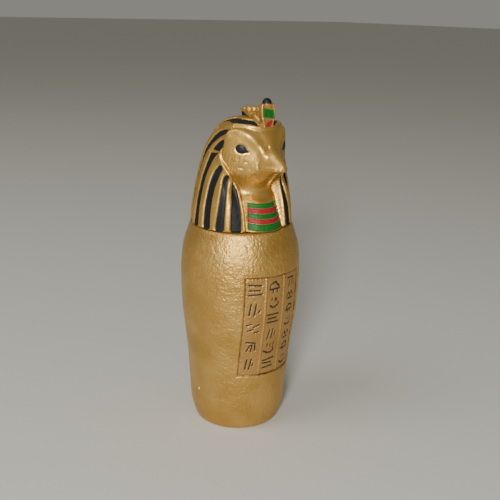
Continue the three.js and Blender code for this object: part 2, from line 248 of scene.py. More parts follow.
# Marks that spell nothing, each as strokes within a square that reaches from -1 to 1.
MARKS = [
    [[[-0.9, 0.7], [0.9, 0.8]], [[-0.8, 0.1], [0.7, 0.15]], [[-0.9, -0.6], [0.9, -0.5]]],
    [
        [[-0.9, -0.2], [-0.45, 0.6]], [[-0.45, 0.6], [0, -0.3]], [[0, -0.3], [0.45, 0.6]],
        [[0.45, 0.6], [0.9, -0.2]], [[-0.7, -0.8], [0.7, -0.75]],
    ],
    [[[-0.6, -0.9], [-0.35, 0.8]], [[0.05, -0.8], [0.3, 0.9]], [[0.65, -0.4], [0.75, 0.1]]],
    arc(0.0, 0.5) + [
        [[-0.9, -0.35], [0.9, -0.3]], [[-0.3, -0.9], [-0.25, -0.5]], [[0.4, -0.9], [0.42, -0.5]],
    ],
    [
        [[-0.9, 0.5], [-0.1, 0.75]], [[0.1, 0.3], [0.9, 0.6]], [[-0.8, -0.4], [0.1, -0.1]],
        [[0.3, -0.7], [0.9, -0.5]],
    ],
    arc(0.55, 1.0) + [[[-0.5, 0.5], [-0.4, 0.9]], [[0.1, 0.45], [0.15, 0.9]], [[0.6, 0.5], [0.7, 0.85]]],
    [
        [[-0.8, 0.8], [0.8, 0.6]], [[-0.2, 0.3], [-0.6, -0.8]], [[0.3, 0.3], [0.1, -0.9]],
        [[0.8, 0.2], [0.8, -0.7]],
    ],
]


def panel_marks():
    """The marks' strokes down each column of the panel, as [[across, z], [across, z]] pairs."""
    random = np.random.default_rng(4)
    strokes = []
    for column, count in enumerate(MARK_ROWS):
        left, right = PANEL_EDGES[column], PANEL_EDGES[column + 1]
        half = min((right - left) / 2 - 1.1, 2.1)
        pitch = (PANEL_HIGH - PANEL_LOW - 1.6) / count
        for row in range(count):
            middle = np.array([(left + right) / 2 - 0.2, PANEL_HIGH - 0.8 - (row + 0.5) * pitch])
            size = np.array([half, 0.36 * pitch]) * random.uniform(0.85, 1.05)
            mark = np.array(MARKS[(3 * column + 2 * row + row // 4) % len(MARKS)])
            strokes.extend(middle + (mark + random.normal(0, 0.07, mark.shape)) * size)
    return np.array(strokes)


def stroke_distance(across, z, strokes):
    """Distance from each place on the jar to the nearest stroke, in millimetres."""
    best = np.full(across.shape, FAR_OFF)
    for start, end in strokes:
        step = end - start
        t = np.clip(((across - start[0]) * step[0] + (z - start[1]) * step[1]) / (step @ step), 0, 1)
        best = np.minimum(best, np.hypot(across - start[0] - t * step[0], z - start[1] - t * step[1]))
    return best


def jar_paint(across, z, front):
    """Signed distances, negative inside: the panel, the painted lines and the ridges between columns."""
    first, last = PANEL_EDGES[0], PANEL_EDGES[-1]
    past_side = np.abs(across - (first + last) / 2) - (last - first) / 2
    past_end = np.abs(z - (PANEL_LOW + PANEL_HIGH) / 2) - (PANEL_HIGH - PANEL_LOW) / 2
    panel = np.where(front, np.maximum(past_side, past_end), FAR_OFF)
    border = np.abs(panel) - BORDER_WIDTH / 2
    strokes = np.where(front, stroke_distance(across, z, panel_marks()), FAR_OFF) - MARK_WIDTH / 2
    ridges = np.minimum(np.abs(across - PANEL_EDGES[1]), np.abs(across - PANEL_EDGES[2]))
    ridge = np.where(front, np.maximum(ridges - DIVIDER_WIDTH / 2, panel), FAR_OFF)
    return panel, border, strokes, ridge


def make_jar():
    azimuth = columns(JAR_COLUMNS)
    panel_rows = np.arange(PANEL_LOW - 0.8, PANEL_HIGH + 0.8, 0.2)
    heights = np.concatenate([
        np.linspace(0.9, panel_rows[0], 38, endpoint=False), panel_rows,
        np.linspace(panel_rows[-1] + 0.2, 61, 30),
    ])
    z, turn = np.meshgrid(heights, azimuth, indexing="ij")
    radius = jar_radius(z)
    across = turn * radius
    front = np.abs(turn) < FRONT_REACH
    panel, border, strokes, ridge = jar_paint(across, z, front)
    flat = np.stack([radius * np.sin(turn), -radius * np.cos(turn), z], axis=2)
    points = flat.reshape(-1, 3)
    peel = (0.7 * noise(points, 0.8) + 0.6 * noise(points + 40, 0.5)).reshape(z.shape)
    depth = PANEL_RECESS * smooth(-panel, -0.05, 0.25) * (1 - smooth(-ridge, -0.15, 0.1))
    depth = depth + BORDER_DEPTH * smooth(-border, -0.1, 0.12) * (1 - 0.5 * smooth(-panel, 0, 0.2))
    depth = depth + MARK_DEPTH * smooth(-strokes, -0.08, 0.12)
    fade = smooth(z, 0.9, 2.5) * (1 - smooth(z, 59.5, 60.9))
    radius = radius - depth + PEEL * peel * fade * mix(1.0, 0.45, smooth(-panel, 0, 0.3))
    outer = np.stack([radius * np.sin(turn), -radius * np.cos(turn), z], axis=2)

    foot = [
        [0.3 * FOOT_RADIUS, 0], [0.98 * FOOT_RADIUS, 0], [FOOT_RADIUS + 0.15, 0.05],
        [FOOT_RADIUS + 0.55, 0.35],
    ]
    rim = [
        [15.42, 61.3], [15.3, 61.6], [RIM_RADIUS, 61.85], [RIM_RADIUS - 0.3, JAR_TOP],
        [MOUTH_RADIUS + 0.3, JAR_TOP], [MOUTH_RADIUS, JAR_TOP - 0.3], [MOUTH_RADIUS, JAR_TOP - MOUTH_DEPTH],
    ]
    wall_levels = np.linspace(JAR_TOP - MOUTH_DEPTH - 5, FLOOR + 5, 8)
    inside = [[float(jar_radius(level)) - WALL, level] for level in wall_levels]
    bowl = [
        [inside[-1][0] - 0.4, FLOOR + 2], [inside[-1][0] - 1.4, FLOOR + 0.3], [inside[-1][0] - 2.5, FLOOR],
        [2.0, FLOOR],
    ]
    below = [ring(azimuth, size, level) for size, level in foot]
    above = [ring(azimuth, size, level) for size, level in rim + inside + bowl]
    rings = below + list(outer) + above
    points = np.concatenate(rings + [[[0, 0, 0], [0, 0, FLOOR]]])
    count, rows = len(azimuth), len(rings)
    first = np.arange(count)
    faces = [
        grid_faces(rows, count), cap_faces(first, rows * count, False),
        cap_faces(first + (rows - 1) * count, rows * count + 1, True),
    ]
    made = make_mesh("gold_jar", points, faces)
    z = points[:, 2]
    turn = np.arctan2(points[:, 0], -points[:, 1])
    front = (np.abs(turn) < FRONT_REACH) & (np.hypot(points[:, 0], points[:, 1]) > jar_radius(z) - 1.5)
    panel, border, strokes, _ = jar_paint(turn * jar_radius(z), z, front)
    store(made.data, "panel", panel)
    store(made.data, "ink", strokes)
    store(made.data, "border", border)
    chip = np.array([-CHIP_RADIUS_OUT, 0, CHIP_LEVEL])
    store(made.data, "chip", np.linalg.norm(points - chip, axis=1) - CHIP_SIZE)
    return made


# ---------------------------------------------------------------- lid: headcloth

LID_HEIGHT = 31.0
DOME_START = 16.5
DOME_POWER = 3.3
CROWN_LEAN = 3.7
PLUG_RADIUS, PLUG_LENGTH = 10.9, 3.2
LID_COLUMNS = 400
LID_ROWS = 205

cloth_size = table([
    [0, 15.05, 0.55], [5, 14.65, 0.85], [10, 13.85, 1.25], [14.7, 12.9, 1.3], [19.4, 11.8, 0.5],
    [22, 11.4, 0], [31, 11.4, 0],
])

# How far the flat front of each lappet lies from the axis, and which way it faces.
lappet_front = table([
    [-1, 13.65], [1, 13.25], [6, 12.2], [10, 10.7], [12.6, 9.7], [14.5, 9.4], [16, 10.1], [18, 12],
    [20, 15],
])
LAPPET_TURN = math.radians(14)

# Headcloth stripes as [azimuth, height, half width in millimetres], from the rim up and round to the face.
STRIPES = [
    [[39.5, 0.9, 1.6], [40, 5, 1.45], [41, 8, 1.15], [42, 10.5, 0.9], [43.2, 12.6, 0.55], [45, 14.1, 0.15]],
    [[58.5, 0.9, 1.4], [57, 7, 1.0], [56.5, 10, 0.85], [55.3, 12.7, 0.8], [54.3, 14.9, 0.75]],
    [[76, 0.9, 1.35], [76, 7, 1.25], [74, 12, 1.2], [70, 15.4, 1.15], [65.5, 17.3, 0.9]],
    [
        [95, 0.9, 1.3], [94.5, 7.3, 1.1], [93, 13, 1.05], [89, 17.2, 1.05], [82, 20.9, 1.1],
        [76.5, 23.1, 1.15], [72.5, 24.4, 0.9],
    ],
    [
        [113, 0.9, 1.2], [113, 8, 1.05], [111.5, 14.6, 0.95], [109, 18.2, 0.95], [104.5, 21.6, 1.0],
        [98, 24.6, 1.0], [89, 26.7, 1.0], [78.5, 27.7, 0.7],
    ],
    [
        [128, 0.9, 1.3], [128, 14, 1.0], [127, 24, 1.0], [122, 29.2, 1.15], [104, 30.5, 1.45],
        [76, 30.55, 1.75], [54, 30.5, 1.75], [38, 30.4, 1.55], [28, 30.1, 0.95], [21.5, 29.6, 0.4],
    ],
    [[146, 0.9, 1.3], [146, 12, 1.05], [146, 22, 0.9], [146, 28.6, 0.5]],
    [[163.5, 0.9, 1.3], [163.5, 12, 1.05], [163.5, 22, 0.8], [163.5, 27.6, 0.35]],
]
STRIPE_DEPTH = 0.5

# The opening for the face and chest, as [half width, height].
OPENING = [
    [6.5, -2], [6.5, 2], [6.6, 6.4], [6.8, 10], [7.3, 12.3], [8.1, 14.3], [9.3, 16.4], [10, 18.2],
    [10.3, 20.3], [10.2, 22.5], [9.9, 25.4], [9.2, 27.5], [8.1, 28.7], [6.6, 29.1], [4.7, 28.85],
    [3.2, 28.6], [1.4, 28.4], [-1.4, 28.4],
]
OPENING_ROWS, SIDE_ROWS = 120, 60  # points along the opening, and how many of them are up its side
OPENING_REACH = math.radians(67)  # the opening ends here round the side of the head
RIM_HEIGHT, RIM_WIDTH = 0.3, 0.95
WALL_WIDTH = 0.22  # how near the opening's edge the fine relief fades


def lean_at(h):
    return CROWN_LEAN * smooth(h, 19.5, 30)


def cloth_radius(azimuth, h):
    """The headcloth's radius at a height, before the dome closes."""
    front = 1 - smooth(np.abs(azimuth), math.radians(36), math.radians(62))
    return cloth_size(h, 0) - cloth_size(h, 1) * front


def cloth(points):
    """Negative inside the headcloth: a domed round with flat fronts to its lappets."""
    x, y, h = points.T
    behind = y + lean_at(h)
    radius = cloth_radius(np.arctan2(x, -behind), h)
    rise = np.clip((h - DOME_START) / (LID_HEIGHT - DOME_START), 0, None)
    level = np.hypot(x, behind) / radius
    domed = radius * ((level**DOME_POWER + rise**DOME_POWER) ** (1 / DOME_POWER) - 1)
    flat = np.abs(x) * math.sin(LAPPET_TURN) - y * math.cos(LAPPET_TURN) - lappet_front(h)
    return common(domed, flat, 0.5)


def on_cloth(rows):
    """Points on the headcloth at rows of [azimuth in degrees, height]."""
    azimuth, h = np.radians(rows[:, 0]), rows[:, 1]
    rise = np.clip((h - DOME_START) / (LID_HEIGHT - DOME_START), 0, 1)
    radius = cloth_radius(azimuth, h) * (1 - rise**DOME_POWER) ** (1 / DOME_POWER)
    about = np.stack([radius * np.sin(azimuth), -radius * np.cos(azimuth) - lean_at(h), h], axis=1)
    return settle(about, cloth)


def stripes(points):
    """Signed distance to the nearest black stripe, negative inside it."""
    mirrored = mirror(points)
    best = np.full(len(points), FAR_OFF)
    for rows in STRIPES:
        dense = spline(rows, 8 * len(rows))
        distance, place = nearest(mirrored, on_cloth(dense))
        half = np.interp(place * (len(dense) - 1), np.arange(len(dense)), dense[:, 2])
        best = np.minimum(best, distance - half)
    return best


def opening(points):
    """Signed distance to the border of the opening, seen from in front, negative inside it."""
    outline = spline(OPENING, OPENING_ROWS)
    side = np.stack([np.abs(points[:, 0]), points[:, 2]], axis=1)
    distance, _ = nearest(side, outline, 40)
    half = np.interp(side[:, 1], outline[:SIDE_ROWS, 1], outline[:SIDE_ROWS, 0])
    top = np.interp(side[:, 0], outline[:SIDE_ROWS:-1, 0], outline[:SIDE_ROWS:-1, 1])
    ahead = points[:, 1] < 0
    low = side[:, 1] < outline[SIDE_ROWS, 1]
    within = ahead & np.where(low, side[:, 0] < half, side[:, 1] < top)
    azimuth = np.abs(np.arctan2(points[:, 0], -points[:, 1] - lean_at(points[:, 2])))
    distance = np.maximum(distance, 12 * (azimuth - OPENING_REACH))
    return np.where(ahead, np.where(within, -distance, distance), FAR_OFF)


# ---------------------------------------------------------------- lid: head and chest

# The head and throat in level rounds: [height, radius, centre ahead of the axis].
head_size = table([
    [8, 7.6, 2.2], [9.4, 6.9, 2.6], [11, 6.75, 2.7], [12.6, 7.1, 2.8], [14.4, 8.5, 2.6], [16.2, 9.8, 2.5],
    [18, 10.5, 2.3],
    [20, 10.9, 2.2], [22, 11.05, 2.1], [24, 11, 2.2], [25.8, 10.6, 2.6], [27.2, 9.8, 3.1], [28.5, 8.6, 3.6],
    [29.4, 7.6, 3.9], [30, 6, 4], [30.4, 3, 4], [30.6, 0.3, 4],
])
# The beak's halves from the head to the tip: [distance ahead of the axis, lower edge, upper edge, half width].
upper_beak = table([
    [9.5, 15.8, 25.9, 4.6], [12.6, 16.85, 25.5, 4.4], [14.2, 17.45, 24.4, 3.7], [16, 17.8, 22.9, 2.9],
    [18, 18.1, 21.5, 2.15], [19.6, 18.1, 20.3, 1.3], [20.25, 18.1, 19.4, 0.6], [20.45, 18.2, 18.8, 0.1],
])
lower_beak = table([
    [9.5, 12.4, 15.8, 3.2], [12.2, 13.7, 16.75, 2.9], [14, 14.9, 17.4, 2.5], [15, 15.7, 17.6, 2.2],
    [16.2, 16.5, 17.85, 1.8], [17.6, 17.1, 18.05, 1.35], [18.9, 17.6, 18.15, 0.75], [19.2, 17.8, 18.1, 0.1],
])
HEAD_TOP = 30.6
UPPER_BEAK_END, LOWER_BEAK_END = 20.5, 19.2
CHEST_MIDDLE, CHEST_SLOPE, CHEST_DROP = 14.95, 0.35, 1.45
COLLAR_HALF = math.radians(26)
# The collar's bands from the bottom up: lower and upper edge at the middle, and how far their ends turn up.
BANDS = [
    ["green", 0.1, 2.05, 0.5], ["red", 2.1, 3.4, 0.5], ["green", 3.45, 4.85, 0.4], ["red", 4.9, 6.25, 0.3],
    ["green", 6.3, 7.65, 0.27],
]


def beak_half(points, size, roundness):
    x, y, h = points.T
    low, high, half = [size(-y, column) for column in range(3)]
    tall = high - low
    level = np.clip((h - low) / tall, 0, None)
    shape = ((np.abs(x) / half) ** roundness + level**roundness) ** (1 / roundness) - 1
    return np.maximum(shape * np.minimum(half, tall) * 0.8, low - h)


def flipped_lower_beak(ahead, column):
    """The lower beak's sizes upside down, so that beak_half's round side faces down."""
    if column < 2:
        return -lower_beak(ahead, 1 - column)
    return lower_beak(ahead, column)


def head(points):
    x, y, h = points.T
    radius, ahead = head_size(h, 0), head_size(h, 1)
    slope = (head_size(h + 0.1, 0) - head_size(h - 0.1, 0)) / 0.2
    round_head = (np.hypot(x, y + ahead) - radius) / np.sqrt(1 + slope**2)
    round_head = np.maximum(round_head, h - HEAD_TOP)
    upper = np.maximum(beak_half(points, upper_beak, 1.75), -UPPER_BEAK_END - y)
    lower = np.maximum(beak_half(points * [1, 1, -1], flipped_lower_beak, 2.2), -LOWER_BEAK_END - y)
    return union(union(round_head, upper, 1.8), lower, 1.6)


def chest(points):
    x, y, h = points.T
    share = np.arctan2(x, -y) / COLLAR_HALF
    radius = CHEST_MIDDLE - CHEST_SLOPE * h - CHEST_DROP * np.minimum(share**2, 1.6)
    shelf = (h - 7.9 - 0.35 * (12.4 - np.hypot(x, y))) * 0.9
    return common(np.hypot(x, y) - radius, shelf, 0.5)


def face(points):
    """The head, throat and chest in the headcloth's opening."""
    return union(head(points), chest(points), 2.2)


# ---------------------------------------------------------------- lid: the rays that its surface is found on


def ray_grid():
    """Where each ray starts and its direction: level up to the dome, then turning up to the crown."""
    spread = table([[0, 1.0], [0.36, 1.0], [0.42, 0.6], [0.52, 0.6], [0.58, 1.0], [1, 1.0]])
    spacing = spread(np.linspace(0, 1, LID_ROWS - 1))
    along = np.concatenate([[0], np.cumsum(spacing)])
    along = 0.02 + along / along[-1] * 37.2
    turn_up = smooth(along, 14, 40)
    elevation = np.clip((along - 15) / 22.2, 0, 1) ** 1.15 * math.radians(89.5)
    start = np.interp(along, [0, 15, 38], [0, 15, 21.5])
    ahead = CROWN_LEAN * smooth(along, 17, 37) * (0.3 + 0.7 * turn_up)
    azimuth = columns(LID_COLUMNS)
    up, turn = np.meshgrid(elevation, azimuth, indexing="ij")
    direction = np.stack([np.cos(up) * np.sin(turn), -np.cos(up) * np.cos(turn), np.sin(up)], axis=2)
    origin = np.zeros_like(direction)
    origin[:, :, 1] = -ahead[:, None]
    origin[:, :, 2] = start[:, None]
    return origin.reshape(-1, 3), direction.reshape(-1, 3)


HALVINGS = 12


def march(field, origin, direction, far=24.0, step=0.4):
    """How far out along each ray the outermost surface of a field lies."""
    reach = np.full(len(origin), far)
    active = np.arange(len(origin))
    while len(active):
        inside = field(origin[active] + direction[active] * reach[active, None]) < 0
        active = active[~inside & (reach[active] > 1)]
        reach[active] -= step
    low, high = reach, reach + step
    for _ in range(HALVINGS):
        middle = (low + high) / 2
        inside = field(origin + direction * middle[:, None]) < 0
        low, high = np.where(inside, middle, low), np.where(inside, high, middle)
    return low


def surface_at(field, rows):
    """Points on a field's surface at rows of [azimuth in degrees, height]."""
    azimuth, h = np.radians(rows[:, 0]), rows[:, 1]
    direction = np.stack([np.sin(azimuth), -np.cos(azimuth), 0 * h], axis=1)
    origin = np.stack([0 * h, 0 * h, h], axis=1)
    return origin + direction * march(field, origin, direction)[:, None]


# ---------------------------------------------------------------- lid: relief on the face

BROW = [
    [62, 24.5], [57, 26.9], [49, 27.8], [40, 27.9], [31, 27.4], [24, 26.3], [17, 24.6], [12.5, 23.2],
    [11, 21.8],
]
EYE_AT = [36.6, 23.25]
EYE_HALF = [1.6, 1.28]
NOSTRIL = [[4.6, 23.8], [7.5, 23.2], [10.2, 22.2]]
CERE = [[10.2, 22.2], [13.5, 21], [16.5, 19.6], [16.5, 18]]


def mirror(points):
    return np.stack([np.abs(points[:, 0]), points[:, 1], points[:, 2]], axis=1)


def eye_plane(points):
    """Each point's place from the middle of the eye: towards the beak, up, and straight distance."""
    centre = surface_at(face, np.array([EYE_AT]))[0]
    turn = math.radians(EYE_AT[0])
    towards_beak = np.array([-math.cos(turn), -math.sin(turn), 0])
    offset = mirror(points) - centre
    return offset @ towards_beak, offset[:, 2], np.linalg.norm(offset, axis=1)


def eye(points):
    """Signed distance to the painted eye: an oval tilted down towards the beak, with a corner there."""
    u, v, away = eye_plane(points)
    tilt = math.radians(-16)
    along, up = u * math.cos(tilt) + v * math.sin(tilt), v * math.cos(tilt) - u * math.sin(tilt)
    oval = (np.hypot(along / EYE_HALF[0], up / EYE_HALF[1]) - 1) * EYE_HALF[1]
    share = np.clip((along - 0.4) / 2.1, 0, 1)
    corner = np.hypot(along - 0.4 - 2.1 * share, up + 0.2 * share) - mix(1.05, 0.08, share)
    return np.where(away < 6, union(oval, corner, 0.2), FAR_OFF)


def face_forms(points):
    """Broad relief: the brow and the hollow that the eye lies in."""
    mirrored = mirror(points)
    crest, place = nearest(mirrored, surface_at(face, spline(BROW, 30)), 5)
    brow = 0.6 * np.exp(-((crest / 1.25) ** 2)) * smooth(place, 0, 0.15)
    u, v, away = eye_plane(points)
    hollow = 0.3 * np.exp(-((u / 3.4) ** 2) - ((v - 0.3) / 2.4) ** 2)
    return np.where(away < 9, brow - hollow, brow)


def face_lines(points):
    """Fine relief: the eye and its rim, the nostril, the cere's edge, the mouth and the cheek's feathers."""
    mirrored = mirror(points)
    edge = eye(points)
    relief = 0.2 * smooth(-edge, 0, 0.9) - 0.1 * np.exp(-((edge / 0.16) ** 2))
    relief = relief + 0.06 * np.exp(-(((edge - 0.35) / 0.2) ** 2))
    nostril, _ = nearest(mirrored, surface_at(face, spline(NOSTRIL, 14)))
    relief = relief - 0.32 * np.exp(-((nostril / 0.28) ** 2))
    cere, _ = nearest(mirrored, surface_at(face, spline(CERE, 14)))
    relief = relief - 0.14 * np.exp(-((cere / 0.3) ** 2))
    ahead = np.linspace(12.2, 19.0, 24)
    mouth = np.stack([upper_beak(ahead, 2) * 0.95, -ahead, upper_beak(ahead, 0)], axis=1)
    line, place = nearest(mirrored, mouth)
    relief = relief - 0.4 * np.exp(-((line / 0.3) ** 2)) * (1 - smooth(place, 0.9, 1.0)) * smooth(
        place, 0.0, 0.12
    )
    azimuth = np.degrees(np.arctan2(mirrored[:, 0], -mirrored[:, 1]))
    h = points[:, 2]
    cheek = smooth(azimuth, 18, 28) * smooth(h, 12.5, 14) * (1 - smooth(h, 20.5, 22.5))
    stretched = np.stack([azimuth * 0.2 + h * 0.18, np.sign(points[:, 0]) * 5, h * 0.3], axis=1)
    feathers = np.abs(noise(stretched, 0.62))
    relief = relief - 0.16 * cheek * (1 - smooth(feathers, 0.0, 0.35))
    return relief


def collar(points):
    """Signed distances to the green and the red bands, and the height of their relief."""
    x, y, h = points.T
    azimuth = np.arctan2(x, -y)
    share = azimuth / COLLAR_HALF
    ends = (np.abs(azimuth) - math.radians(25.5)) * 13.5
    paint = {"green": np.full(len(points), FAR_OFF), "red": np.full(len(points), FAR_OFF)}
    relief = np.zeros(len(points))
    for colour, low, high, rise in BANDS:
        level = h - rise * share**2
        band = np.maximum(np.abs(level - (low + high) / 2) - (high - low) / 2, ends)
        paint[colour] = np.minimum(paint[colour], np.where(y < 0, band, FAR_OFF))
        relief = np.maximum(relief, 0.2 * smooth(-band, -0.12, 0.3))
    return paint, relief


# ---------------------------------------------------------------- lid: cobra

HOOD_THICK = 1.6
HOOD_LOW, HOOD_HIGH = 28.7, 35.6
HOOD_FRONT, HOOD_TILT = 12.4, math.radians(4)
hood_width = table([[0, 2.9], [1.2, 3.3], [3, 4.3], [4.5, 4.6], [6, 4.5], [7.2, 3.7]])
COBRA_HEAD = [0, -11.2, 35.6]
COBRA_HEAD_SIZE = [1.32, 1.3, 1.42]
# The body's turns as [to the side, ahead of the axis, height, radius], from the hood to the tail.
COIL = [
    [-0.2, 10.6, 33.4, 1.1], [0.6, 9.4, 33.3, 1.0], [-0.6, 8.2, 33.5, 0.95], [0.6, 7.0, 33.3, 1.0],
    [-0.6, 5.8, 33.4, 0.95],
    [0.55, 4.5, 33.1, 0.95], [-0.5, 3.2, 33.1, 0.9], [0.4, 2.0, 32.8, 0.95], [-0.2, 0.9, 32.75, 0.9],
    [0, 0.1, 32.5, 0.8],
]
UNDER_COIL = [
    [0.5, 2.9, 31.9, 0.7], [0.9, 4.4, 31.9, 0.85], [0.7, 6.0, 31.6, 0.8], [1.0, 7.6, 31.3, 0.9],
    [0.8, 9.2, 30.6, 0.85], [0.9, 10.8, 29.9, 0.8],
]
COBRA_CELL = 0.16


def capsule_chain(points, rows):
    """A round body through rows of [side, ahead, height, radius]."""
    rows = spline(rows, 5 * len(rows))
    best = np.full(len(points), FAR_OFF)
    course = rows[:, :3] * [1, -1, 1]
    for a, b, ra, rb in zip(course[:-1], course[1:], rows[:-1, 3], rows[1:, 3]):
        step = b - a
        t = np.clip((points - a) @ step / (step @ step), 0, 1)
        best = np.minimum(best, np.linalg.norm(points - a - t[:, None] * step, axis=1) - mix(ra, rb, t))
    return best


def hood_place(points):
    """Places on the hood: across it, up it from its foot, and out from its front."""
    y, h = points[:, 1] + HOOD_FRONT, points[:, 2] - HOOD_LOW
    up = h * math.cos(HOOD_TILT) + y * math.sin(HOOD_TILT)
    out = -y * math.cos(HOOD_TILT) + h * math.sin(HOOD_TILT)
    return points[:, 0], up, out


def cobra(points):
    across, up, out = hood_place(points)
    tall = HOOD_HIGH - HOOD_LOW
    edge = np.maximum(np.abs(across) - hood_width(up) / 2, np.abs(up - tall / 2) - tall / 2)
    front = common(edge, out, 0.25)
    hood = common(front, -out - HOOD_THICK, 0.3)
    frame_line = 0.14 * np.exp(-(((edge + 0.28) / 0.2) ** 2)) + 0.1 * np.exp(-(((up - 2.7) / 0.18) ** 2))
    hood = hood - frame_line * smooth(out, -0.5, -0.1)
    skull = (np.linalg.norm((points - COBRA_HEAD) / COBRA_HEAD_SIZE, axis=1) - 1) * 1.3
    mirrored = mirror(points)
    coil = union(capsule_chain(points, COIL), capsule_chain(mirrored, UNDER_COIL), 0.25)
    # The web fills the gap under the coil's tail, and its side there carries painted shade.
    under = mirrored - [0, -5.4, 31.2]
    web = np.max(np.abs(under) - [0.65, 5.6, 1.5], axis=1)
    coil = union(coil, web, 0.3) - 0.1 * noise(points, 0.7)
    return union(union(hood, skull, 0.3), coil, 0.3)


def at_corner(value, corner):
    """A grid's values at one corner of every cell."""
    return value[tuple(slice(first, first + size - 1) for first, size in zip(corner, value.shape))]


def net(field, low, high, cell):
    """A closed quad mesh of a field's surface: one point in each cell that the surface crosses."""
    count = np.ceil((np.array(high) - low) / cell).astype(int) + 1
    axes = [low[i] + cell * np.arange(count[i]) for i in range(3)]
    grid = np.stack(np.meshgrid(*axes, indexing="ij"), axis=3)
    value = field(grid.reshape(-1, 3)).reshape(count)
    total = np.zeros(tuple(count - 1) + (3,))
    crossings = np.zeros(tuple(count - 1))
    offsets = np.array(list(np.ndindex(2, 2, 2)))
    for a in offsets:
        for axis in range(3):
            if a[axis]:
                continue
            b = a + np.eye(3, dtype=int)[axis]
            va, vb = at_corner(value, a), at_corner(value, b)
            crossed = (va < 0) != (vb < 0)
            t = np.where(crossed, va / np.where(crossed, va - vb, 1), 0)
            place = a + t[..., None] * (b - a)
            total += crossed[..., None] * place
            crossings += crossed
    used = crossings > 0
    number = np.full(used.shape, -1)
    number[used] = np.arange(used.sum())
    cells = np.argwhere(used)
    points = low + cell * (cells + total[used] / crossings[used][:, None])
    faces = []
    for axis in range(3):
        other, third = (axis + 1) % 3, (axis + 2) % 3
        span = [slice(1, -1)] * 3
        span[axis] = slice(0, -1)
        start = value[tuple(span)]
        span[axis] = slice(1, None)
        end = value[tuple(span)]
        for rising in (False, True):
            crossed = (start < 0) & (end >= 0) if rising else (start >= 0) & (end < 0)
            at = np.argwhere(crossed)
            at[:, other] += 1
            at[:, third] += 1
            ring = []
            for da, db in ((0, 0), (-1, 0), (-1, -1), (0, -1)):
                corner = at.copy()
                corner[:, other] += da
                corner[:, third] += db
                ring.append(number[tuple(corner.T)])
            quad = np.stack(ring, axis=1)
            faces.append(quad if rising else quad[:, ::-1])
    return points, np.concatenate(faces)


def settle(points, field, steps=3):
    """Moves points onto a field's surface and returns them."""
    nudge = 0.02
    for _ in range(steps):
        value = field(points)
        change = [field(points + step) - field(points - step) for step in nudge * np.eye(3)]
        slope = np.stack(change, axis=1) / (2 * nudge)
        points = points - slope * (value / np.maximum((slope**2).sum(1), 0.2))[:, None] * 0.8
    return points


def make_cobra():
    low, high = np.array([-2.6, -13.6, 28.3]), np.array([2.6, 0.8, 38.0])
    points, faces = net(cobra, low, high, COBRA_CELL)
    return make_mesh("cobra", settle(points, cobra), [faces])


def cobra_paint(points):
    """Signed distances on the cobra: black head with painted shade in the gap under the tail, green band, red
    drop.
    """
    across, up, out = hood_place(points)
    facing = np.where((out > -0.45) & (points[:, 1] < -10), 0.0, FAR_OFF)
    green = np.maximum(np.abs(up - 4.15 + 0.15 * across) - 1.2, np.abs(across - 0.1) - 1.75) + facing
    lean = math.radians(40)
    along = (across - 0.25) * math.cos(lean) + (up - 1.35) * math.sin(lean)
    over = (up - 1.35) * math.cos(lean) - (across - 0.25) * math.sin(lean)
    red = (np.hypot(along / 1.4, over / 0.68) - 1) * 0.8 + facing
    crown = 35.55 - points[:, 2]
    black = np.maximum(crown, np.abs(points[:, 1] + 11.1) - 1.6)
    # Painted shade: the web's side in the gap under the coil's tail is painted black where shade falls.
    painted_shade_gap = np.maximum(
        points[:, 2] - 32.2 + 0.45 * np.abs(points[:, 1] + 0.6), np.abs(points[:, 1] + 1.1) - 1.9
    )
    return np.minimum(black, painted_shade_gap), green, red


# ---------------------------------------------------------------- lid: all together


